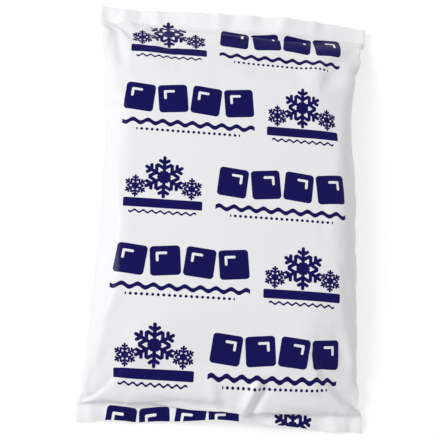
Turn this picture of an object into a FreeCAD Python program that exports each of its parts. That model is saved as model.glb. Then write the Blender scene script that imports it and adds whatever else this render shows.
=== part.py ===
import FreeCAD, Part
import os
from math import cos, exp, pi, radians, sin

# Reusable gel ice pack: a sealed pillow of film, full of gel, lying on its back.
# +Y runs to the upper end seal, +X to the right, +Z up. The table is at Z = 0. Millimetres.

sizes = (
    # name, value, what it is
    ("flat_width", 152.0, "film tube laid flat, side fold to side fold"),
    ("overall_length", 230.5, "cut end to cut end of the filled pack"),
    ("film", 0.15, "one layer of film"),
    ("seal_width", 8.0, "welded band across each end"),
    ("body_height", 24.8, "upper face above the table"),
    ("fold_height", 10.5, "side folds above the table, along the body"),
    ("corner_height", 3.6, "corners of the seals above the table"),
    ("seal_tilt", 0.6, "rise of each seal to its cut end"),
    ("side_turn", 90.0, "slope of the film where it meets a side fold, degrees"),
    ("waist_width", 139.0, "filled body, side to side"),
    ("upper_rise", 65.0, "upper seal to full body height"),
    ("lower_rise", 70.0, "lower seal to full body height"),
    ("upper_start", 7.5, "height from which the face rises inside the upper seal"),
    ("lower_start", 9.5, "height from which the face rises inside the lower seal"),
    ("start_reach", 9.0, "how far in the face leaves the seal's own height"),
    ("fold_rise", 25.0, "seal to the side folds' full height"),
    ("under_rise", 14.0, "seal to where the underside lies on the table"),
    ("upper_flare", 62.0, "length over which the sides spread to the upper seal"),
    ("lower_flare", 104.0, "length over which the sides spread to the lower seal"),
    ("gather_width", 5.0, "half width of a gather at the seals"),
    ("gather_height", 4.6, "deepest gather, ridge to valley"),
    ("gather_reach", 22.0, "how far a gather runs in from its seal"),
    ("ear_reach", 21.0, "hollow of a folded corner, in from the seal to its middle"),
    ("ear_inset", 13.0, "hollow of a folded corner, in from the side fold to its middle"),
    ("ear_depth", 3.6, "deepest hollow of a folded corner"),
    ("under_ear_reach", 12.0, "hollow under each corner, in from the seal to its middle"),
    ("under_ear_depth", 4.5, "hollow under each corner"),
    ("base_press", 0.35, "how far the table flattens the underside"),
    ("seam_width", 12.0, "back seam, folded flat"),
    ("seam_depth", 0.3, "back seam, two layers of film"),
    ("seam_gap", 0.6, "groove beside each edge of the back seam"),
)

# Lifts of the seals: end (1 upper, -1 lower), place across the flat film (-1 left fold,
# 1 right fold), height in millimetres, half width in places.
seal_lifts = (
    (1, 0.40, 10.0, 0.45),
    (1, -0.25, 3.0, 0.20),
    (-1, -0.78, 3.5, 0.13),
    (-1, 0.00, 7.0, 0.30),
    (-1, 0.45, 3.0, 0.22),
)

# Gathers at the seals: end, place, share of gather_height, lean towards +X on the way in.
gathers = (
    (1, -0.64, 0.55, 0.25),
    (1, 0.12, 0.25, -0.10),
    (1, 0.70, 0.35, -0.20),
    (-1, -0.48, 0.40, 0.20),
    (-1, -0.06, 0.55, 0.10),
    (-1, 0.25, 1.00, -0.05),
    (-1, 0.62, 0.45, -0.25),
)

# Hollows of the folded corners: end, side, share of ear_depth.
ears = ((1, -1, 1.0), (1, 1, 0.8), (-1, -1, 0.45), (-1, 1, 0.85))

face_count = 57  # points of a section's upper edge
seam_count = 5  # points across the back seam
section_count = 37  # sections between the seals
fold_crowding = 0.28  # points crowd towards the side folds
seal_crowding = 0.55  # sections crowd towards the seals
face_squareness = 9.0  # how late the face turns down to the side fold
under_squareness = 13.0  # how late the underside turns up to the side fold
rise_power = 2.5  # steepness of the rise beside a seal
gather_start = 0.3  # share of gather_reach over which a gather grows to its full height
ear_length = 0.7  # half length of a corner's hollow, in ear_reach
ear_breadth = 0.7  # half breadth of a corner's hollow, in ear_inset


doc = FreeCAD.newDocument("ice_pack")
sheet = doc.addObject("Spreadsheet::Sheet", "sizes")
for row, (name, value, words) in enumerate(sizes, start=1):
    sheet.set(f"A{row}", words)
    sheet.set(f"B{row}", f"{value:g}")
    sheet.setAlias(f"B{row}", name)
doc.recompute()


def size(name):
    return float(sheet.get(name))


def level_off(share):
    """Steep rise from 0 that levels out at 1."""
    return 1.0 - (1.0 - min(max(share, 0.0), 1.0)) ** rise_power


def blend(share):
    """Even rise from 0 to 1, level at both ends."""
    share = min(max(share, 0.0), 1.0)
    return share * share * (3.0 - 2.0 * share)


def hump(offset, half_width):
    return exp(-((offset / half_width) ** 2))


def side_curve(squareness, steps=60):
    """The filled body's film from its middle to a side fold, at even steps along it.

    The film keeps its length and turns from level to side_turn. Returns how far out and
    how far down each step lies, both as shares of their last value.
    """
    out, down = [0.0], [0.0]
    for step in range(steps):
        turn = radians(size("side_turn")) * ((step + 0.5) / steps) ** squareness
        out.append(out[-1] + cos(turn))
        down.append(down[-1] + sin(turn))
    return [x / out[-1] for x in out], [z / down[-1] for z in down]


def read_curve(values, place):
    """Value at a place along the film, from -1 at one fold to 1 at the other."""
    step = abs(place) * (len(values) - 1)
    low = min(int(step), len(values) - 2)
    return values[low] + (values[low + 1] - values[low]) * (step - low)


face_out, face_down = side_curve(face_squareness)
under_out, under_down = side_curve(under_squareness)


def seal_height(end, place):
    """Height of the welded film across a seal, lifted where the gel below pushes it up."""
    lift = sum(
        height * hump(place - middle, half_width)
        for at_end, middle, height, half_width in seal_lifts
        if at_end == end
    )
    return size("corner_height") + lift * (1.0 - place**4)


def gathered(end, place, inward):
    """Height that the gathers of one end add to the upper face: a ridge beside a valley each."""
    reach = size("gather_reach")
    fade = min(inward / (gather_start * reach), 1.0) * hump(inward, reach)
    total = 0.0
    for at_end, gather_place, share, lean in gathers:
        if at_end == end:
            offset = (place - gather_place) * size("flat_width") / 2 - lean * inward
            slope = offset / size("gather_width") * hump(offset, size("gather_width"))
            total += share * size("gather_height") * slope
    return total * fade


def hollow(place, inward, reach):
    """Share of a corner's hollow, whose middle lies that far in from the seal."""
    from_fold = (1.0 - abs(place)) * size("flat_width") / 2
    across = hump(from_fold - size("ear_inset"), size("ear_inset") * ear_breadth)
    return hump(inward - reach, reach * ear_length) * across


def ear(end, place, inward):
    """Depth of the hollow that the face has beside a folded corner."""
    share = next(depth for at_end, side, depth in ears if at_end == end and side * place >= 0)
    return share * size("ear_depth") * hollow(place, inward, size("ear_reach"))


def film_point(place, y, side):
    """A point of the outer film, at a place across it. Side 1 is the upper face, -1 the under."""
    end = 1 if y > 0 else -1
    inward = size("overall_length") / 2 - size("seal_width") - abs(y)
    seal = seal_height(end, place) + size("seal_tilt") * max(-inward, 0.0) / size("seal_width")
    inward = max(inward, 0.0)
    rise = size("upper_rise") if end == 1 else size("lower_rise")
    flare = size("upper_flare") if end == 1 else size("lower_flare")
    start = size("upper_start") if end == 1 else size("lower_start")
    width = size("flat_width") + (size("waist_width") - size("flat_width")) * level_off(inward / flare)
    full = level_off(inward / size("fold_rise"))
    curve_out, curve_down = (face_out, face_down) if side == 1 else (under_out, under_down)
    out = abs(place) + (read_curve(curve_out, place) - abs(place)) * full
    middle = seal + (size("fold_height") - seal) * full
    crown = 1.0 - read_curve(curve_down, place)
    if side == 1:
        low = seal + (start - seal) * blend(inward / size("start_reach"))
        top = low + (size("body_height") - low) * level_off(inward / rise)
        top += gathered(end, place, inward) - ear(end, place, inward)
        bulge = (top - size("film") - middle) * crown
    else:
        base = seal * (1.0 - blend(inward / size("under_rise")))
        base += size("under_ear_depth") * hollow(place, inward, size("under_ear_reach"))
        bulge = (middle - base - size("film") + size("base_press") * full) * crown
    x = out * width / 2 * (1 if place >= 0 else -1)
    return FreeCAD.Vector(x, y, middle + side * (size("film") + max(bulge, 0.0)))


def even_places(count):
    return [-1.0 + 2.0 * i / (count - 1) for i in range(count)]


def crowded(places, crowding):
    """Places from -1 to 1, moved towards both ends."""
    return [p + crowding * sin(pi * p) / pi for p in places]


def smooth_edge(points):
    """A spline through points that lie at even shares along it."""
    spline = Part.BSplineCurve()
    spline.interpolate(Points=points, Parameters=[i / (len(points) - 1) for i in range(len(points))])
    return spline.toShape()


def section(y):
    """Closed outline of the pack at y: upper face, side folds, underside and back seam."""
    across = crowded(even_places(face_count), fold_crowding)
    seam_edge = size("seam_width") / size("flat_width")
    clear = seam_edge + 1 / face_count
    left = [p for p in across if p < -clear] + [-seam_edge]
    right = [seam_edge] + [p for p in across if p > clear]
    seam_drop = FreeCAD.Vector(0, 0, -size("seam_depth"))
    face = [film_point(p, y, 1) for p in across]
    under_left = [film_point(p, y, -1) for p in left]
    under_right = [film_point(p, y, -1) for p in right]
    seam = [film_point(p * seam_edge, y, -1) + seam_drop for p in even_places(seam_count)]
    return Part.Wire([
        smooth_edge(face),
        Part.makeLine(face[-1], under_right[-1]),
        smooth_edge(under_right[::-1]),
        Part.makeLine(under_right[0], seam[-1]),
        smooth_edge(seam[::-1]),
        Part.makeLine(seam[0], under_left[-1]),
        smooth_edge(under_left[::-1]),
        Part.makeLine(under_left[0], face[0]),
    ])


def section_places():
    """Where the sections stand along Y: both cut ends, and crowded rows between the seals."""
    half_length = size("overall_length") / 2
    rows = crowded(even_places(section_count), seal_crowding)
    return [-half_length] + [r * (half_length - size("seal_width")) for r in rows] + [half_length]


def filled_bag():
    """The pillow with its end seals, lofted straight from outline to outline."""
    outlines = []
    for number, y in enumerate(section_places(), start=1):
        outline = doc.addObject("Part::Feature", f"outline_{number:02d}")
        outline.Shape = section(y)
        outlines.append(outline)
    bag = doc.addObject("Part::Loft", "filled_bag")
    bag.Sections = outlines
    bag.Solid = True
    bag.Ruled = True
    return bag


def table():
    """The surface that the pack lies on, which flattens its underside."""
    block = doc.addObject("Part::Box", "table")
    block.setExpression("Length", "sizes.flat_width * 1.2")
    block.setExpression("Width", "sizes.overall_length * 1.2")
    block.setExpression("Height", "sizes.body_height")
    block.setExpression("Placement.Base.x", "-sizes.flat_width * 0.6")
    block.setExpression("Placement.Base.y", "-sizes.overall_length * 0.6")
    block.setExpression("Placement.Base.z", "-sizes.body_height")
    return block


def seam_groove(name, start):
    """The narrow gap beside one edge of the back seam, where the underside lies flat."""
    groove = doc.addObject("Part::Box", name)
    groove.setExpression("Length", "sizes.seam_gap")
    groove.setExpression("Width", "sizes.overall_length - 2 * sizes.seal_width - 3 * sizes.under_rise")
    groove.setExpression("Height", "2 * sizes.seam_depth")
    groove.setExpression("Placement.Base.x", start)
    groove.setExpression("Placement.Base.y", "-sizes.overall_length / 2 + sizes.seal_width"
                                             " + 1.5 * sizes.under_rise")
    groove.setExpression("Placement.Base.z", "-sizes.seam_depth")
    return groove


def cut_away(name, base, tool):
    cut = doc.addObject("Part::Cut", name)
    cut.Base = base
    cut.Tool = tool
    return cut


pack = cut_away("laid_bag", filled_bag(), table())
pack = cut_away("left_groove", pack, seam_groove("left_gap", "-sizes.seam_width / 2 - sizes.seam_gap"))
pack = cut_away("right_groove", pack, seam_groove("right_gap", "sizes.seam_width / 2"))
pack.Label = "ice_pack"
doc.recompute()

for item in doc.Objects:
    if "Invalid" in item.State or "Error" in item.State:
        raise RuntimeError(f"{item.Name} failed: {item.State}")
if pack.Shape.isNull() or not pack.Shape.isValid() or len(pack.Shape.Solids) != 1:
    raise RuntimeError("ice_pack is not one valid solid")

os.makedirs("parts", exist_ok=True)
pack.Shape.exportStep(f"parts/{pack.Label}.step")
box = pack.Shape.BoundBox
print(f"ice_pack {pack.Shape.Volume / 1000:.1f} cm3,"
      f" {box.XLength:.2f} x {box.YLength:.2f} x {box.ZLength:.2f} mm, base at {box.ZMin:.3f}")
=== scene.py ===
import math

import bmesh
import bpy
from mathutils import Euler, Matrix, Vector, noise


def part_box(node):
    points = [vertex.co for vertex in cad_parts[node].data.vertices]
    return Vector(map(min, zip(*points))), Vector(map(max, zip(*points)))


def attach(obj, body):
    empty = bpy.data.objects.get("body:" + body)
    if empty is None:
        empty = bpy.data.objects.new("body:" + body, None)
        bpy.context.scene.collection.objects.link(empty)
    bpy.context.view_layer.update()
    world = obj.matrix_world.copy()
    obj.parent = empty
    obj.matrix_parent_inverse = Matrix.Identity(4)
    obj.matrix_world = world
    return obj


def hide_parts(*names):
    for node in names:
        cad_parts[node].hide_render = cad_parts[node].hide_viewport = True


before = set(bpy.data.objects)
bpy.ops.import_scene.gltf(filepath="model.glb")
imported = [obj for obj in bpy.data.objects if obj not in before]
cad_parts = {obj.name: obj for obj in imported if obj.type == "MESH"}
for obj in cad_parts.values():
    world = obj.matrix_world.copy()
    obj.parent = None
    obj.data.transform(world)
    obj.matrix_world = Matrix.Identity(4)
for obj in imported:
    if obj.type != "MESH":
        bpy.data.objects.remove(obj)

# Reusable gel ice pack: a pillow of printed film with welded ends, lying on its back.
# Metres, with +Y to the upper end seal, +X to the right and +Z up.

scene = bpy.context.scene
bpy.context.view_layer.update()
packLow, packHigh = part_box("ice_pack")
packSize = packHigh - packLow
millimetre = 0.001
tiny = 0.00001


# Helpers for meshes, node groups and shader nodes

def newObject(name, data):
    item = bpy.data.objects.new(name, data)
    scene.collection.objects.link(item)
    return item


def meshFrom(bm, name):
    mesh = bpy.data.meshes.new(name)
    bm.to_mesh(mesh)
    return mesh


def blend(share):
    share = min(max(share, 0.0), 1.0)
    return share * share * (3.0 - 2.0 * share)  # level at both ends


def hump(offset, halfWidth):
    return math.exp(-((offset / halfWidth) ** 2))


# Uneven heights over the film, each octave twice as fine as the one before
def uneven(point, octaves):
    falloff, finer = 0.8, 2.0
    return noise.fractal(point, falloff, finer, octaves)


def addNode(tree, kind, **settings):
    node = tree.nodes.new(kind)
    for name, value in settings.items():
        setattr(node, name, value)
    return node


def feed(tree, socket, value):
    if isinstance(value, bpy.types.NodeSocket):
        tree.links.new(value, socket)
    else:
        socket.default_value = value


def calc(tree, operation, *values):
    node = addNode(tree, "ShaderNodeMath", operation=operation)
    for socket, value in zip(node.inputs, values):
        feed(tree, socket, value)
    return node.outputs[0]


def vectorCalc(tree, operation, *values, result="Vector"):
    node = addNode(tree, "ShaderNodeVectorMath", operation=operation)
    for socket, value in zip(node.inputs, values):
        feed(tree, socket, value)
    return node.outputs[result]


def smallest(tree, *distances):
    nearest = distances[0]
    for distance in distances[1:]:
        nearest = calc(tree, "MINIMUM", nearest, distance)
    return nearest


def newGroup(name, inputs, outputs):
    group = bpy.data.node_groups.new(name, "ShaderNodeTree")
    for label, kind in inputs:
        group.interface.new_socket(label, in_out="INPUT", socket_type=kind)
    for label, kind in outputs:
        group.interface.new_socket(label, in_out="OUTPUT", socket_type=kind)
    return group, addNode(group, "NodeGroupInput"), addNode(group, "NodeGroupOutput")


# Camera: looks down on the pack, at the photograph's angle

cameraView = {
    "tilt": 14.0,  # degrees, ZYX order
    "turn": -7.4,
    "roll": 3.9,
    "distance": 0.694,
    "aimSide": 0.0041,  # what the view is centred on, across and up the picture
    "aimUp": 0.0022,
    "focalPixels": 1260.0,
    "picturePixels": 440.0,
    "sensor": 36.0,
}


def addCamera():
    turn = Euler([math.radians(cameraView[name]) for name in ("tilt", "turn", "roll")], "ZYX")
    lens = bpy.data.cameras.new("camera")
    lens.sensor_width = cameraView["sensor"]
    lens.lens = cameraView["sensor"] * cameraView["focalPixels"] / cameraView["picturePixels"]
    camera = newObject("camera", lens)
    camera.rotation_mode = "ZYX"
    camera.rotation_euler = turn
    away = Vector((-cameraView["aimSide"], -cameraView["aimUp"], cameraView["distance"]))
    camera.location = turn.to_matrix() @ away
    scene.camera = camera


addCamera()
print("camera placed")


# Film bag: a tube of printed film, flat at first, welded across both ends and full of gel

filmBag = {
    "layer": 0.00015,  # one layer of film
    "sealWidth": 0.0080,  # welded band across each end
    "cellsInSeal": 4,  # rows of faces across a seal, which set the size of all
    "quickCellsInSeal": 2,
    "takeUp": 1.047,  # flat film for each length of the filled pack
    "gatherWidth": 0.005,  # half width of a gather
    "gatherReach": 0.016,  # how far it runs in from its seal
    "cornerHeight": 0.0035,  # corners of the seals above the table
    "upperCurl": 0.0006,  # rise of the cut ends above the welds
    "lowerCurl": -0.0024,
    "sealRipple": 0.0014,  # height of the ripples in a seal, greatest at the cut end
    "ripplePitch": 0.012,
    "rippleAtWeld": 0.5,  # share of the ripples where the seal begins
    "upperDrawIn": -0.0012,  # how far the middle of a seal is pulled in, below 0 pushed out
    "lowerDrawIn": 0.0020,
}

# End (1 upper, -1 lower), place across the seal (-1 left fold, 1 right fold), lift above the
# corners, half width in places
sealLifts = (
    (1, 0.40, 0.0060, 0.45),
    (1, -0.25, 0.0025, 0.20),
    (-1, -0.78, 0.0018, 0.13),
    (-1, 0.00, 0.0055, 0.30),
    (-1, 0.45, 0.0025, 0.22),
)

# End and place as above, how far the cut end stands out there, half width in places
cutWaves = (
    (1, -1.00, 0.0013, 0.10),
    (1, 0.00, 0.0005, 0.15),
    (1, 0.80, 0.0007, 0.25),
    (-1, -1.00, 0.0011, 0.12),
    (-1, -0.58, 0.0011, 0.12),
    (-1, -0.32, 0.0004, 0.12),
    (-1, 0.00, -0.0011, 0.16),
    (-1, 0.72, 0.0008, 0.15),
)

# End and place as above, height, lean towards +X on the way in
gathers = (
    (1, -0.66, 0.0015, 0.2),
    (1, -0.12, 0.0010, -0.2),
    (1, 0.45, 0.0008, 0.0),
    (-1, -0.30, 0.0010, 0.2),
    (-1, -0.04, 0.0014, 0.3),
    (-1, 0.25, 0.0024, -0.2),
    (-1, 0.60, 0.0010, -0.2),
)

cell = filmBag["sealWidth"] / filmBag["cellsInSeal"]
filmColumns = round(packSize.x / cell)
filmRows = round(packSize.y * filmBag["takeUp"] / cell)
filmLength = filmRows * cell
sealStart = filmLength / 2 - filmBag["sealWidth"]


# The two faces of the flat tube. Each vertex keeps its place on the film, with side 1 or -1.
def flatSheets():
    sheets = bmesh.new()
    flat = sheets.verts.layers.float_vector.new("flat")
    spot = sheets.verts.layers.int.new("spot")
    filmMap = sheets.loops.layers.uv.new("film")
    sheets.edges.layers.float.new("crease_edge")
    sheets.verts.layers.float.new("crease_vert")
    bmesh.ops.create_grid(sheets, x_segments=filmColumns, y_segments=filmRows, size=0.5)
    bmesh.ops.scale(sheets, vec=(packSize.x, filmLength, 1), verts=sheets.verts)
    for vert in sheets.verts:
        vert[flat] = (vert.co.x, vert.co.y, 1)
    everything = [*sheets.verts, *sheets.edges, *sheets.faces]
    back = bmesh.ops.duplicate(sheets, geom=everything)["geom"]
    bmesh.ops.reverse_faces(sheets, faces=[g for g in back if isinstance(g, bmesh.types.BMFace)])
    for vert in back:
        if isinstance(vert, bmesh.types.BMVert):
            vert[flat] = (vert.co.x, vert.co.y, -1)
    for number, vert in enumerate(sheets.verts):
        vert[spot] = number
    for face in sheets.faces:
        for loop in face.loops:
            x, y, side = loop.vert[flat]
            across = (x / packSize.x + 0.5) / 2
            loop[filmMap].uv = (across if side > 0 else 1 - across, y / filmLength + 0.5)
    return sheets


def gathered(x, y):
    total = 0.0
    for end, place, height, lean in gathers:
        inward = max(sealStart - end * y, 0.0)
        offset = x - place * packSize.x / 2 - lean * inward
        total += height * hump(offset, filmBag["gatherWidth"]) * hump(inward, filmBag["gatherReach"])
    return total


# Where a point of a seal lies on the filled pack, reach being its distance out from the weld
def sealPlace(x, y):
    end = 1 if y > 0 else -1
    place = 2 * x / packSize.x
    reach = abs(y) - sealStart
    lift, wave = [
        sum(height * hump(place - middle, width) for at, middle, height, width in table if at == end)
        for table in (sealLifts, cutWaves)
    ]
    drawIn, curl = [filmBag[("upper" if end == 1 else "lower") + name] for name in ("DrawIn", "Curl")]
    out = packSize.y / 2 - filmBag["sealWidth"] + reach - drawIn * (1 - place**2)
    toCut = reach / filmBag["sealWidth"]
    ripple = uneven(Vector((x / filmBag["ripplePitch"], end, 0)), 2) * (filmBag["rippleAtWeld"] + toCut)
    out += wave * toCut
    height = filmBag["cornerHeight"] + lift * (1 - place**4) + curl * toCut**2
    return Vector((x, end * out, height + filmBag["sealRipple"] * ripple))


# The tube as it is filled: one skin at the side folds and in the seals
def joinedTube(sheets):
    tube = sheets.copy()
    flat = tube.verts.layers.float_vector["flat"]
    spot = tube.verts.layers.int["spot"]
    joined = []
    for vert in tube.verts:
        x, y, side = vert[flat]
        vert.co.z = gathered(x, y)
        if abs(x) > packSize.x / 2 - tiny or abs(y) > sealStart - tiny:
            joined.append(vert)
        else:
            vert.co.z = side * filling["startGap"] + max(side, 0) * vert.co.z
    pairs = bmesh.ops.find_doubles(tube, verts=joined, dist=tiny)["targetmap"]
    partner = {gone[spot]: kept[spot] for gone, kept in pairs.items()}
    bmesh.ops.weld_verts(tube, targetmap=pairs)
    return tube, partner


# Filling: the tube is simulated as cloth with liquid in it, between a table and a board

filling = {
    "scale": 10.0,  # simulated ten times as large, where cloth collides more finely
    "startGap": 0.002,  # half the space between the faces
    "startHeight": 0.008,
    "frames": 52,
    "softUntil": 22,  # frames between which the liquid gets its weight
    "fullFrom": 32,
    "volume": 0.64,  # litres, each of which is one cubic unit at ten times the size
    "weight": 38.0,  # cloth mass for each unit of area
    "stretch": 500.0,
    "shear": 100.0,
    "bend": 0.1,
    "endsFrom": 2,  # frames in which the seals move to their places on the filled pack
    "endsUntil": 18,
    "damping": 20.0,
    "bendDamping": 0.5,
    "drag": 2.0,
    "skin": 0.002,  # depth of the layer in which the table and the board push
    "boardHeight": 0.0232,
    "boardCrown": 0.0015,
    "boardSpread": 1.2,  # the board's size, as a share of the pack's
    "boardSteps": 12,
    "grip": 5.0,  # friction on the table
    "steps": 6,  # for each frame
    "collisionSteps": 2,
    "collisionGap": 0.001,  # these two at ten times the size
    "selfGap": 0.004,  # kept between the faces of the film
}

# Frame, then how fast the volume corrects itself, weight of the liquid and gravity
fillingStages = (
    (1, 1.0, 0.0, 0.05),
    (filling["softUntil"], 1.0, 0.0, 0.05),
    (filling["fullFrom"], 60.0, 1.0, 0.2),
)


def addObstacle(name, bm, grip):
    obstacle = newObject(name, meshFrom(bm, name))
    bm.free()
    obstacle.modifiers.new("collision", "COLLISION")
    obstacle.collision.thickness_outer = filling["skin"] * filling["scale"]
    obstacle.collision.cloth_friction = grip
    return obstacle


def addTable():
    bm = bmesh.new()
    bmesh.ops.create_grid(bm, x_segments=1, y_segments=1, size=packSize.y * filling["scale"])
    return addObstacle("table", bm, filling["grip"])


# The board above the pack that keeps its face nearly flat
def addBoard():
    bm = bmesh.new()
    steps = filling["boardSteps"]
    bmesh.ops.create_grid(bm, x_segments=steps, y_segments=steps, size=0.5)
    for vert in bm.verts:
        crown = (1 - (2 * vert.co.x) ** 2) * (1 - (2 * vert.co.y) ** 4)
        height = filling["boardHeight"] + 2 * filling["skin"] + filling["boardCrown"] * crown
        vert.co.z = height * filling["scale"]
    size = filling["scale"] * filling["boardSpread"]
    bmesh.ops.scale(bm, vec=(packSize.x * size, packSize.y * size, 1), verts=bm.verts)
    bmesh.ops.reverse_faces(bm, faces=bm.faces)
    return addObstacle("board", bm, 0.0)


def setCloth(bag):
    modifier = bag.modifiers.new("cloth", "CLOTH")
    cloth = modifier.settings
    cloth.quality = filling["steps"]
    cloth.mass = filling["weight"] * (cell * filling["scale"]) ** 2
    cloth.air_damping = filling["drag"]
    cloth.tension_stiffness = cloth.compression_stiffness = filling["stretch"]
    cloth.shear_stiffness = filling["shear"]
    cloth.bending_stiffness = filling["bend"]
    cloth.vertex_group_mass = "seals"
    cloth.tension_damping = cloth.compression_damping = cloth.shear_damping = filling["damping"]
    cloth.bending_damping = filling["bendDamping"]
    cloth.use_pressure = True
    cloth.uniform_pressure_force = 0.0
    cloth.use_pressure_volume = True
    cloth.target_volume = filling["volume"]
    cloth.vertex_group_pressure = "inside"
    for number, speed, liquid, pull in fillingStages:
        cloth.pressure_factor = speed
        cloth.fluid_density = liquid
        cloth.effector_weights.gravity = pull
        cloth.keyframe_insert("pressure_factor", frame=number)
        cloth.keyframe_insert("fluid_density", frame=number)
        cloth.effector_weights.keyframe_insert("gravity", frame=number)
    collisions = modifier.collision_settings
    collisions.collision_quality = filling["collisionSteps"]
    collisions.distance_min = filling["collisionGap"]
    collisions.use_self_collision = True
    collisions.self_distance_min = filling["selfGap"]
    modifier.point_cache.frame_start = 1
    modifier.point_cache.frame_end = filling["frames"] + 1


# The seals are held, and move from the flat tube to where they lie on the filled pack
def moveSeals(bag, seals):
    bag.shape_key_add(name="flat")
    ends = bag.shape_key_add(name="ends")
    for index, place in seals.items():
        height = Vector((0, 0, filling["skin"]))
        ends.data[index].co = (place + height) * filling["scale"]
    for value, number in ((0.0, filling["endsFrom"]), (1.0, filling["endsUntil"])):
        ends.value = value
        ends.keyframe_insert("value", frame=number)


# Runs the filling and gives each vertex's place by its number
def fillTube(tube):
    flat = tube.verts.layers.float_vector["flat"]
    spot = tube.verts.layers.int["spot"]
    tube.verts.index_update()
    for vert in tube.verts:
        vert.co.z += filling["startHeight"]
    inside, seals = [], {}
    for vert in tube.verts:
        x, y, side = vert[flat]
        if abs(y) < sealStart - tiny:
            inside.append(vert.index)
        else:
            seals[vert.index] = sealPlace(x, y)
    numbers = [v[spot] for v in tube.verts]
    bmesh.ops.scale(tube, vec=[filling["scale"]] * 3, verts=tube.verts)
    bag = newObject("filling", meshFrom(tube, "filling"))
    bag.vertex_groups.new(name="inside").add(inside, 1.0, "REPLACE")
    bag.vertex_groups.new(name="seals").add(list(seals), 1.0, "REPLACE")
    moveSeals(bag, seals)
    helpers = [bag, addTable(), addBoard()]
    setCloth(bag)
    scene.frame_start = 1
    scene.frame_end = filling["frames"] + 1
    for number in range(1, filling["frames"] + 1):
        scene.frame_set(number)
    filled = bag.evaluated_get(bpy.context.evaluated_depsgraph_get()).data
    places = {n: v.co / filling["scale"] for n, v in zip(numbers, filled.vertices)}
    for helper in helpers:
        mesh = helper.data
        bpy.data.objects.remove(helper)
        bpy.data.meshes.remove(mesh)
    for action in list(bpy.data.actions):
        bpy.data.actions.remove(action)
    scene.frame_set(1)
    return places


def filledSheets():
    sheets = flatSheets()
    tube, partner = joinedTube(sheets)
    places = fillTube(tube)
    tube.free()
    spot = sheets.verts.layers.int["spot"]
    for vert in sheets.verts:
        vert.co = places[partner.get(vert[spot], vert[spot])]
    return sheets


# How the gel settled: a little shorter, and the lower bulge leaning over its seal
settled = {
    "length": 0.9938,  # for each length as simulated
    "shift": -0.0004,  # along the pack
    "lean": 0.0026,
    "leanFrom": 0.005,  # full lean between these distances along the film from the weld
    "leanUntil": 0.008,
    "leanEnd": 0.030,  # no lean from here on
}

# Side (-1 left, 1 right), place along the pack, how far the side is drawn in there (below 0
# pushed out), half length
sideDraws = (
    (1, 0.060, 0.0042, 0.032),
    (-1, -0.060, -0.0022, 0.026),
)


def settle(sheets):
    flat = sheets.verts.layers.float_vector["flat"]
    for vert in sheets.verts:
        x, y, side = vert[flat]
        for way, along, depth, half in sideDraws:
            share = blend(way * vert.co.x / (packSize.x / 2))
            vert.co.x -= way * depth * share * hump(vert.co.y - along, half)
        vert.co.y = vert.co.y * settled["length"] + settled["shift"]
        inward = sealStart + y
        if side > 0 and inward > 0:
            fade = blend((inward - settled["leanUntil"]) / (settled["leanEnd"] - settled["leanUntil"]))
            middle = 1 - (2 * x / packSize.x) ** 4
            vert.co.y -= settled["lean"] * blend(inward / settled["leanFrom"]) * (1 - fade) * middle


# Where the upper film is pulled smooth: place on the pack and radius in millimetres, passes
smoothPlaces = (
    (57, 95, 18, 16),
    (61, -92, 13, 10),
)
smoothShare = 0.5  # how far each pass goes


def pullSmooth(sheets):
    flat = sheets.verts.layers.float_vector["flat"]
    upper = [
        vert
        for vert in sheets.verts
        if vert[flat].z > 0
        and abs(vert[flat].x) < packSize.x / 2 - cell / 2
        and abs(vert[flat].y) < sealStart - tiny
    ]
    for x, y, radius, passes in smoothPlaces:
        middle = Vector((x, y)) * millimetre
        near = [vert for vert in upper if (vert.co.xy - middle).length < radius * millimetre]
        for _ in range(passes):
            bmesh.ops.smooth_vert(
                sheets, verts=near, factor=smoothShare, use_axis_x=True, use_axis_y=True, use_axis_z=True
            )


# Height (below 0 a valley), half width, then the crease's line over the pack, in millimetres
creases = (
    (0.9, 8, (-70, 92), (-67, 58), (-66, 28), (-63, 4), (-60, -17)),
    (1.5, 9, (-60, -10), (-59, -43), (-62, -55), (-65, -67), (-66.5, -78), (-67, -89), (-68, -100),
     (-74, -109)),
    (-0.8, 6, (-73, -109), (-66, -101.5), (-58, -99)),
    (0.7, 9, (66, 104), (62, 78), (59, 57), (57, 37), (53, 15), (50, -3)),
    (-0.6, 6, (53, 20), (48, 0), (49, -14), (55, -26)),
    (0.8, 8, (49, -10), (53, -24), (58, -30), (59, -51), (62, -63), (66, -74), (70, -92), (74, -108)),
    (1.8, 5, (50, -90), (56, -97), (63, -102), (72, -109)),
    (-2.6, 6, (-77, 114), (-69, 106), (-62, 99), (-54, 91)),
    (0.9, 6, (-66, 112), (-58, 103), (-48, 95), (-40, 84)),
    (-0.7, 6, (-52, 113), (-46, 104), (-35, 94), (-26, 82)),
    (4.4, 4.2, (19, -89), (15, -96.5), (12, -103), (9, -112)),
    (-3.8, 4.0, (23, -90), (20, -97), (17, -102.5), (12, -112)),
    (-1.6, 3.5, (-46, -103.5), (-23, -104.5), (4, -105.5)),
    (-1.4, 3.5, (20, -106), (33, -107), (50, -107)),
    (1.4, 5, (-9, -90), (-7, -98), (-5, -106)),
    (-1.2, 5, (-3, -96), (0, -104), (0, -111)),
    (-0.5, 12, (-34, -86), (-12, -84), (10, -86)),
    (1.7, 4, (-70, -103), (-69, -112), (-67, -124)),
    (-1.6, 4, (-62, -103), (-61, -112), (-60, -124)),
    (1.4, 5, (-50, -103), (-50, -112), (-51, -124)),
    (1.8, 5, (57, -103), (61, -112), (63, -124)),
    (-1.6, 4, (68, -103), (70, -112), (71, -124)),
    (1.1, 4, (-65, 103), (-63, 112), (-62, 124)),
    (-1.3, 4, (-56, 103), (-54, 112), (-52, 124)),
    (0.9, 5, (-44, 103), (-44, 112), (-43, 124)),
    (-0.8, 5, (-5, 103), (-2, 112), (0, 124)),
    (0.9, 6, (24, 103), (26, 112), (28, 124)),
)
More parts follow.
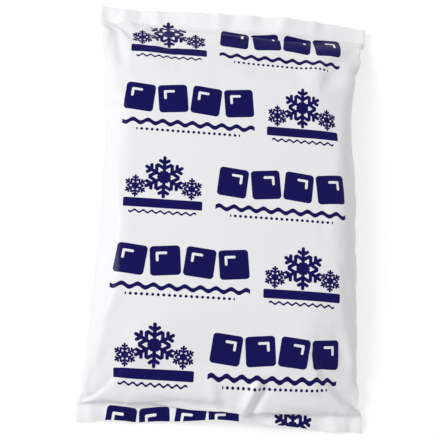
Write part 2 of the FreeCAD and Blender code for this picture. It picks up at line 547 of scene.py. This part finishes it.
creaseEnds = 0.25  # share of a crease's line over which each of its ends fades


# Slight unevenness of the film, less in the middle where the gel keeps it taut
crinkle = {
    "height": 0.0004,
    "pitch": 0.013,
    "middleShare": 0.25,
    "fromEdge": 0.040,  # where it is down to that
    "foldMargin": 0.007,  # over which it and the creases fade towards the folds and the welds
    "weldMargin": 0.004,
}


def crinkleHeight(x, y):
    edge = min(packSize.x / 2 - abs(x), sealStart - abs(y)) / crinkle["fromEdge"]
    share = 1 - (1 - crinkle["middleShare"]) * blend(edge)
    return crinkle["height"] * share * uneven(Vector((x, y, 0)) / crinkle["pitch"], 3)


# Height of all creases at a place on the pack
def creaseHeight(x, y):
    spot = Vector((x, y, 0)) / millimetre
    total = 0.0
    for height, halfWidth, *line in creases:
        share, place = 0.0, 0.0
        for number, (start, end) in enumerate(zip(line, line[1:])):
            start, end = Vector((*start, 0)), Vector((*end, 0))
            factor = min(max((spot - start).dot(end - start) / (end - start).length_squared, 0.0), 1.0)
            near = 1 - (spot - start.lerp(end, factor)).length / halfWidth
            if near > share:
                share, place = near, (number + factor) / (len(line) - 1)
        total += height * share**2 * blend(place / creaseEnds) * blend((1 - place) / creaseEnds)
    return total * millimetre


# Creases the upper face, and both faces together where they are welded
def creaseFilm(sheets):
    sheets.normal_update()
    flat = sheets.verts.layers.float_vector["flat"]
    moves = []
    for vert in sheets.verts:
        x, y, side = vert[flat]
        crease = creaseHeight(vert.co.x, vert.co.y)
        fromFold = blend((packSize.x / 2 - abs(x)) / crinkle["foldMargin"])
        fromWeld = blend((sealStart - abs(y)) / crinkle["weldMargin"])
        together = Vector((0, 0, crease * (1 - fromWeld)))
        apart = vert.normal * (crease + crinkleHeight(x, y)) * fromFold * fromWeld
        moves.append(together + apart if side > 0 else together)
    for vert, move in zip(sheets.verts, moves):
        vert.co += move


# Sets the faces apart by the film's thickness and closes the folds and the cut ends
def closeFilm(sheets):
    sheets.normal_update()
    moves = [vert.normal * filmBag["layer"] for vert in sheets.verts]
    for vert, move in zip(sheets.verts, moves):
        vert.co += move
    rim = [edge for edge in sheets.edges if edge.is_boundary]
    walls = bmesh.ops.bridge_loops(sheets, edges=rim)["faces"]
    flat = sheets.verts.layers.float_vector["flat"]
    filmMap = sheets.loops.layers.uv["film"]
    crease = sheets.edges.layers.float["crease_edge"]  # keep the cut ends sharp when subdivided
    corner = sheets.verts.layers.float["crease_vert"]
    for face in walls:
        for loop in face.loops:
            x, y, side = loop.vert[flat]
            loop[filmMap].uv = ((x / packSize.x + 0.5) / 2, y / filmLength + 0.5)
            if abs(y) > filmLength / 2 - tiny and abs(x) > packSize.x / 2 - tiny:
                loop.vert[corner] = 1.0
    for edge in rim:
        if all(abs(vert[flat].y) > filmLength / 2 - tiny for vert in edge.verts):
            edge[crease] = 1.0
            edge.smooth = False


# Back seam: the film's edges overlapped and welded along the middle of the underside

backSeam = {
    "width": 0.012,
    "depth": 0.0003,
    "overlap": 0.0001,  # sunk into the film that it is welded to
    "beside": 0.005,  # width of the film that stands off the table beside it
}


# Lifts the underside off the table so that the seam has its room below it
def layOverSeam(sheets):
    low = min(vert.co.z for vert in sheets.verts)
    flat = sheets.verts.layers.float_vector["flat"]
    for vert in sheets.verts:
        x, y, side = vert[flat]
        vert.co.z -= low
        if side < 0 and abs(y) < sealStart - tiny:
            near = (backSeam["width"] / 2 + backSeam["beside"] - abs(x)) / backSeam["beside"]
            vert.co.z = max(vert.co.z, backSeam["depth"] * blend(near))


# The seam is a copy of the middle faces of the underside, closed round its edge
def addSeam(sheets):
    seam = bmesh.new()
    flat = sheets.verts.layers.float_vector["flat"]
    sheets.normal_update()
    half = backSeam["width"] / 2
    middle = {vert for vert in sheets.verts if vert[flat].z < 0 and abs(vert[flat].x) < half + tiny}
    strip = [face for face in sheets.faces if middle.issuperset(face.verts)]
    layers = []
    for away in (backSeam["depth"], -backSeam["overlap"]):
        layers.append({v: seam.verts.new(v.co + v.normal * away) for f in strip for v in f.verts})
    outer, inner = layers
    for face in strip:
        seam.faces.new([outer[v] for v in face.verts])
        seam.faces.new([inner[v] for v in reversed(face.verts)])
    rim = [edge for edge in seam.edges if edge.is_boundary]
    bmesh.ops.bridge_loops(seam, edges=rim)
    bmesh.ops.recalc_face_normals(seam, faces=seam.faces)
    for face in seam.faces:
        face.smooth = True
    piece = newObject("back_seam", meshFrom(seam, "back_seam"))
    seam.free()
    return piece


def addBag():
    sheets = filledSheets()
    settle(sheets)
    pullSmooth(sheets)
    creaseFilm(sheets)
    closeFilm(sheets)
    layOverSeam(sheets)
    seam = addSeam(sheets)
    for face in sheets.faces:
        face.smooth = True
    bag = newObject("film_bag", meshFrom(sheets, "film_bag"))
    sheets.free()
    for piece in (bag, seam):
        finer = piece.modifiers.new("finer", "SUBSURF")
        finer.levels = finer.render_levels = 1
    return bag, seam


# Print on the film: ice blocks, snowflakes and water lines in navy, in millimetres of flat film

printing = {
    "ink": (0.001, 0.0, 0.080, 1.0),
    "rowPitch": 45.0,
    "rowStart": -36.6,
    "largePlace": -26.0,  # the motifs change sides from row to row
    "smallPlace": 38.0,
    "edge": 0.06,  # softness of the ink's edge
    "blockPitch": 18.0,
    "firstBlock": -2.0,  # of four, counted from the motif's middle
    "lastBlock": 1.0,
    "blockHalf": 8.0,
    "blockCorner": 2.0,
    "blockLean": 0.2,
    "glintStroke": 1.4,
    "glintPlace": 0.52,  # its corner, as a share of a block's half width
    "glintEnd": 0.1,  # where its legs end, as a share of that
}

# Parts of the large and the small motif, with heights above the motif's middle
largeParts = {
    "blocks": 4.5,
    "water": {"height": -9.6, "half": 36.0, "swing": 0.9, "pitch": 8.0, "stroke": 2.4},
    "dots": {"height": -13.9, "half": 28.0, "pitch": 2.8, "radius": 0.8},
}
smallParts = {
    "flake": 4.8,
    "flakeSize": {"radius": 10.8, "stroke": 1.9},
    "outerFlake": -0.8,
    "outerFlakeSize": {"radius": 5.6, "stroke": 1.1},
    "outerPlace": 15.0,
    "bar": -9.8,
    "barSize": {"half": (21.0, 2.5), "corner": 0.8},
    "water": {"height": -14.6, "half": 18.0, "swing": 0.6, "pitch": 4.5, "stroke": 1.1},
}

# A snowflake of radius 1: arms, the ring's size, and where an arm's branches start and end
flakeShape = {
    "arms": 6,
    "ring": 0.22,
    "branches": (((0.44, 0.0), (0.62, 0.312)), ((0.72, 0.0), (0.84, 0.208))),
}


# Distance from a straight stroke
def segment(tree, point, start, end):
    way = Vector(end) - Vector(start)
    fromStart = vectorCalc(tree, "SUBTRACT", point, Vector((*start, 0)))
    perLength = Vector((*way, 0)) / way.length_squared
    along = vectorCalc(tree, "DOT_PRODUCT", fromStart, perLength, result="Value")
    share = calc(tree, "MAXIMUM", calc(tree, "MINIMUM", along, 1.0), 0.0)
    nearest = addNode(tree, "ShaderNodeVectorMath", operation="SCALE")
    nearest.inputs[0].default_value = (*way, 0)
    feed(tree, nearest.inputs["Scale"], share)
    return vectorCalc(tree, "DISTANCE", fromStart, nearest.outputs[0], result="Value")


# Distance from a snowflake: one arm and its branches, folded round
def snowflakeGroup():
    group, given, result = newGroup(
        "snowflake",
        [("Point", "NodeSocketVector"), ("Radius", "NodeSocketFloat"), ("Stroke", "NodeSocketFloat")],
        [("Distance", "NodeSocketFloat")],
    )
    parts = addNode(group, "ShaderNodeSeparateXYZ")
    feed(group, parts.inputs[0], given.outputs["Point"])
    turn = calc(group, "ARCTAN2", parts.outputs["X"], parts.outputs["Y"])
    folded = calc(group, "PINGPONG", turn, math.pi / flakeShape["arms"])
    reach = vectorCalc(group, "LENGTH", given.outputs["Point"], result="Value")
    reach = calc(group, "DIVIDE", reach, given.outputs["Radius"])
    along = calc(group, "MULTIPLY", reach, calc(group, "COSINE", folded))
    point = combined(group, along, calc(group, "MULTIPLY", reach, calc(group, "SINE", folded)))
    ring = calc(group, "ABSOLUTE", calc(group, "SUBTRACT", along, flakeShape["ring"]))
    arm = segment(group, point, (0.0, 0.0), (1.0, 0.0))
    branches = [segment(group, point, start, end) for start, end in flakeShape["branches"]]
    lines = smallest(group, ring, arm, *branches)
    size = calc(group, "MULTIPLY", lines, given.outputs["Radius"])
    distance = calc(group, "SUBTRACT", size, calc(group, "MULTIPLY", given.outputs["Stroke"], 0.5))
    feed(group, result.inputs["Distance"], distance)
    return group


def snowflake(tree, group, x, y, radius, stroke):
    flake = addNode(tree, "ShaderNodeGroup", node_tree=group)
    feed(tree, flake.inputs["Point"], combined(tree, x, y))
    flake.inputs["Radius"].default_value = radius
    flake.inputs["Stroke"].default_value = stroke
    return flake.outputs["Distance"]


def combined(tree, x, y):
    place = addNode(tree, "ShaderNodeCombineXYZ")
    feed(tree, place.inputs["X"], x)
    feed(tree, place.inputs["Y"], y)
    return place.outputs[0]


# A box of that half width and half height, its corners rounded
def block(tree, x, y, half, corner=0.0):
    size = Vector((half[0] - corner, half[1] - corner, 0))
    beyond = vectorCalc(tree, "SUBTRACT", vectorCalc(tree, "ABSOLUTE", combined(tree, x, y)), size)
    parts = addNode(tree, "ShaderNodeSeparateXYZ")
    feed(tree, parts.inputs[0], beyond)
    within = calc(tree, "MINIMUM", calc(tree, "MAXIMUM", parts.outputs["X"], parts.outputs["Y"]), 0.0)
    outside = vectorCalc(tree, "MAXIMUM", beyond, Vector((0, 0, 0)))
    reach = vectorCalc(tree, "LENGTH", outside, result="Value")
    return calc(tree, "SUBTRACT", calc(tree, "ADD", reach, within), corner)


def waterLine(tree, x, y, height, half, swing, pitch, stroke):
    wave = calc(tree, "MULTIPLY", calc(tree, "SINE", calc(tree, "MULTIPLY", x, 2 * math.pi / pitch)), swing)
    lifted = calc(tree, "SUBTRACT", calc(tree, "SUBTRACT", y, wave), height)
    return block(tree, x, lifted, (half, stroke / 2))


def dots(tree, x, y, height, half, pitch, radius):
    step = calc(tree, "PINGPONG", x, pitch / 2)
    reach = combined(tree, step, calc(tree, "SUBTRACT", y, height))
    dot = calc(tree, "SUBTRACT", vectorCalc(tree, "LENGTH", reach, result="Value"), radius)
    return calc(tree, "MAXIMUM", dot, calc(tree, "SUBTRACT", calc(tree, "ABSOLUTE", x), half))


# Four ice blocks in a row, leaning by turns to the left and the right, each with a glint
def iceBlocks(tree, x, y):
    pitch = printing["blockPitch"]
    number = calc(tree, "FLOOR", calc(tree, "DIVIDE", x, pitch))
    number = calc(tree, "MINIMUM", number, printing["lastBlock"])
    number = calc(tree, "MAXIMUM", number, printing["firstBlock"])
    byTurns = calc(tree, "SUBTRACT", calc(tree, "PINGPONG", number, 1.0), 0.5)
    lean = calc(tree, "MULTIPLY", byTurns, printing["blockLean"])
    across = calc(tree, "SUBTRACT", x, calc(tree, "MULTIPLY", calc(tree, "ADD", number, 0.5), pitch))
    turnedX = calc(tree, "ADD", across, calc(tree, "MULTIPLY", lean, y))
    turnedY = calc(tree, "SUBTRACT", y, calc(tree, "MULTIPLY", lean, across))
    half = printing["blockHalf"]
    body = block(tree, turnedX, turnedY, (half, half), printing["blockCorner"])
    point = combined(tree, turnedX, turnedY)
    inset = half * printing["glintPlace"]
    end = inset * printing["glintEnd"]
    glint = smallest(
        tree,
        segment(tree, point, (-inset, inset), (end, inset)),
        segment(tree, point, (-inset, inset), (-inset, end)),
    )
    return calc(tree, "MAXIMUM", body, calc(tree, "SUBTRACT", printing["glintStroke"] / 2, glint))


def largeMotif(tree, x, y):
    return smallest(
        tree,
        iceBlocks(tree, x, calc(tree, "SUBTRACT", y, largeParts["blocks"])),
        waterLine(tree, x, y, **largeParts["water"]),
        dots(tree, x, y, **largeParts["dots"]),
    )


def smallMotif(tree, flake, x, y):
    outer = calc(tree, "SUBTRACT", calc(tree, "ABSOLUTE", x), smallParts["outerPlace"])
    flakeY, outerY, barY = [
        calc(tree, "SUBTRACT", y, smallParts[name]) for name in ("flake", "outerFlake", "bar")
    ]
    return smallest(
        tree,
        snowflake(tree, flake, x, flakeY, **smallParts["flakeSize"]),
        snowflake(tree, flake, outer, outerY, **smallParts["outerFlakeSize"]),
        block(tree, x, barY, **smallParts["barSize"]),
        waterLine(tree, x, y, **smallParts["water"]),
    )


# 1 where there is ink: rows of a large and a small motif, which change sides from row to row
def printGroup():
    flake = snowflakeGroup()
    group, given, result = newGroup("print", [("Film", "NodeSocketVector")], [("Ink", "NodeSocketFloat")])
    parts = addNode(group, "ShaderNodeSeparateXYZ")
    feed(group, parts.inputs[0], given.outputs["Film"])
    face = packSize.x / millimetre / 2
    lifted = calc(group, "SUBTRACT", parts.outputs["Y"], printing["rowStart"])
    row = calc(group, "ROUND", calc(group, "DIVIDE", lifted, printing["rowPitch"]))
    y = calc(group, "SUBTRACT", lifted, calc(group, "MULTIPLY", row, printing["rowPitch"]))
    sideways = calc(group, "SUBTRACT", 1.0, calc(group, "MULTIPLY", calc(group, "PINGPONG", row, 1.0), 2.0))
    x = calc(group, "MULTIPLY", calc(group, "WRAP", parts.outputs["X"], face, -face), sideways)
    largeX = calc(group, "SUBTRACT", x, printing["largePlace"])
    smallX = calc(group, "SUBTRACT", x, printing["smallPlace"])
    distance = smallest(group, largeMotif(group, largeX, y), smallMotif(group, flake, smallX, y))
    edge = addNode(group, "ShaderNodeMapRange")
    feed(group, edge.inputs["Value"], distance)
    edge.inputs["From Min"].default_value = -printing["edge"]
    edge.inputs["From Max"].default_value = printing["edge"]
    edge.inputs["To Min"].default_value = 1.0
    edge.inputs["To Max"].default_value = 0.0
    feed(group, result.inputs["Ink"], edge.outputs[0])
    return group


# Film: soft gloss white over gel, finely crinkled

film = {
    "white": (0.815, 0.82, 0.837, 1.0),
    "weldWhiteAndPaintedHighlight": (0.88, 0.885, 0.895, 1.0),  # no gel behind it, and partly a painted highlight for the seals' lit look
    "weldEdge": 1.0,  # millimetres of film over which the one turns into the other
    "roughness": 0.30,
    "gloss": 0.12,
    "grainScale": 0.12,  # for each millimetre of film
    "grainDetail": 6.0,
    "grainRoughness": 0.65,
    "grainStrength": 0.25,
    "grainDepth": 0.0006,
}


# Places on the flat film in millimetres, from the film's own map
def filmPlace(tree):
    spread = addNode(tree, "ShaderNodeUVMap", uv_map="film")
    size = Vector((2 * packSize.x, filmLength, 0)) / millimetre
    scaled = vectorCalc(tree, "MULTIPLY", spread.outputs["UV"], size)
    middle = Vector((packSize.x / 2, filmLength / 2, 0)) / millimetre
    return vectorCalc(tree, "SUBTRACT", scaled, middle)


# 1 in the end seals, 0 over the gel; it places the seals' whiter colour, partly a painted highlight
def weldMask(tree, place):
    parts = addNode(tree, "ShaderNodeSeparateXYZ")
    feed(tree, parts.inputs[0], place)
    mask = addNode(tree, "ShaderNodeMapRange")
    feed(tree, mask.inputs["Value"], calc(tree, "ABSOLUTE", parts.outputs["Y"]))
    mask.inputs["From Min"].default_value = sealStart / millimetre - film["weldEdge"]
    mask.inputs["From Max"].default_value = sealStart / millimetre
    return mask.outputs[0]


def mixed(tree, share, first, second):
    mix = addNode(tree, "ShaderNodeMix", data_type="RGBA")
    feed(tree, mix.inputs[0], share)
    feed(tree, mix.inputs[6], first)  # 6, 7 and 2 are the node's colours
    feed(tree, mix.inputs[7], second)
    return mix.outputs[2]


def filmMaterial(name, printed):
    material = bpy.data.materials.new(name)
    material.use_nodes = True
    tree = material.node_tree
    shader = tree.nodes["Principled BSDF"]
    place = filmPlace(tree)
    grain = addNode(tree, "ShaderNodeTexNoise")
    feed(tree, grain.inputs["Vector"], place)
    grain.inputs["Scale"].default_value = film["grainScale"]
    grain.inputs["Detail"].default_value = film["grainDetail"]
    grain.inputs["Roughness"].default_value = film["grainRoughness"]
    bump = addNode(tree, "ShaderNodeBump")
    bump.inputs["Strength"].default_value = film["grainStrength"]
    bump.inputs["Distance"].default_value = film["grainDepth"]
    feed(tree, bump.inputs["Height"], grain.outputs["Fac"])
    feed(tree, shader.inputs["Normal"], bump.outputs[0])
    shader.inputs["Base Color"].default_value = film["white"]
    shader.inputs["Roughness"].default_value = film["roughness"]
    shader.inputs["Specular IOR Level"].default_value = film["gloss"]
    if printed:
        ink = addNode(tree, "ShaderNodeGroup", node_tree=printGroup())
        feed(tree, ink.inputs["Film"], place)
        # Seals are whiter: partly their own colour with no gel behind, partly a painted highlight for their
        # lit look
        white = mixed(tree, weldMask(tree, place), film["white"], film["weldWhiteAndPaintedHighlight"])
        feed(tree, shader.inputs["Base Color"], mixed(tree, ink.outputs["Ink"], white, printing["ink"]))
    return material


bag, seam = addBag()
bag.data.materials.append(filmMaterial("printed_film", True))
seam.data.materials.append(filmMaterial("plain_film", False))
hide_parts("ice_pack")
for piece in (bag, seam):
    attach(piece, "root")
print("film bag filled and printed")


# Table and light

studio = {
    "floorSize": 6.0,
    "floorHeight": -0.0002,
    "floorWhite": 0.8,  # as the pack sees it
    "floorShade": 0.5,  # as the camera sees it, with the glow
    "floorGlow": 0.56,
    "skyStrength": 0.67,
    "keyPlace": (-0.97, 0.15, 0.93),
    "keySize": 0.45,
    "keyPower": 8.2,
    "fillPlace": (0.6, 0.5, 1.2),
    "fillSize": 1.0,
    "fillPower": 0.2,
}


# 1 for what the camera sees, straight or mirrored, 0 for light on the pack
def lightPathShare(tree):
    path = addNode(tree, "ShaderNodeLightPath")
    seen = calc(tree, "MAXIMUM", path.outputs["Is Camera Ray"], path.outputs["Is Glossy Ray"])
    return calc(tree, "MAXIMUM", seen, path.outputs["Is Transmission Ray"])


def floorMaterial():
    material = bpy.data.materials.new("white_floor")
    material.use_nodes = True
    tree = material.node_tree
    plain = tree.nodes["Principled BSDF"]
    plain.inputs["Base Color"].default_value = (*[studio["floorWhite"]] * 3, 1)
    plain.inputs["Roughness"].default_value = 1.0
    seen = addNode(tree, "ShaderNodeBsdfPrincipled")
    seen.inputs["Base Color"].default_value = (*[studio["floorShade"]] * 3, 1)
    seen.inputs["Roughness"].default_value = 1.0
    seen.inputs["Specular IOR Level"].default_value = 0.0
    seen.inputs["Emission Color"].default_value = (1, 1, 1, 1)
    seen.inputs["Emission Strength"].default_value = studio["floorGlow"]
    mix = addNode(tree, "ShaderNodeMixShader")
    feed(tree, mix.inputs[0], lightPathShare(tree))
    tree.links.new(plain.outputs[0], mix.inputs[1])
    tree.links.new(seen.outputs[0], mix.inputs[2])
    tree.links.new(mix.outputs[0], tree.nodes["Material Output"].inputs["Surface"])
    return material


def addFloor():
    bm = bmesh.new()
    bmesh.ops.create_grid(bm, x_segments=1, y_segments=1, size=studio["floorSize"] / 2)
    bmesh.ops.translate(bm, vec=(0, 0, studio["floorHeight"]), verts=bm.verts)
    floor = newObject("floor", meshFrom(bm, "floor"))
    bm.free()
    floor.data.materials.append(floorMaterial())


def addLamp(name, place, size, power):
    lamp = bpy.data.lights.new(name, "AREA")
    lamp.size = size
    lamp.energy = power
    holder = newObject(name, lamp)
    holder.location = place
    holder.rotation_euler = (-Vector(place)).to_track_quat("-Z", "Y").to_euler()


def addSky():
    sky = bpy.data.worlds.new("sky")
    scene.world = sky
    sky.use_nodes = True
    tree = sky.node_tree
    background = tree.nodes["Background"]
    background.inputs["Color"].default_value = (1, 1, 1, 1)
    strength = addNode(tree, "ShaderNodeMapRange")
    feed(tree, strength.inputs["Value"], lightPathShare(tree))
    strength.inputs["To Min"].default_value = studio["skyStrength"]
    strength.inputs["To Max"].default_value = 1.0
    feed(tree, background.inputs["Strength"], strength.outputs[0])


addFloor()
addSky()
addLamp("key_light", studio["keyPlace"], studio["keySize"], studio["keyPower"])
addLamp("fill_light", studio["fillPlace"], studio["fillSize"], studio["fillPower"])
scene.view_settings.view_transform = "Standard"
print("floor and lights set")
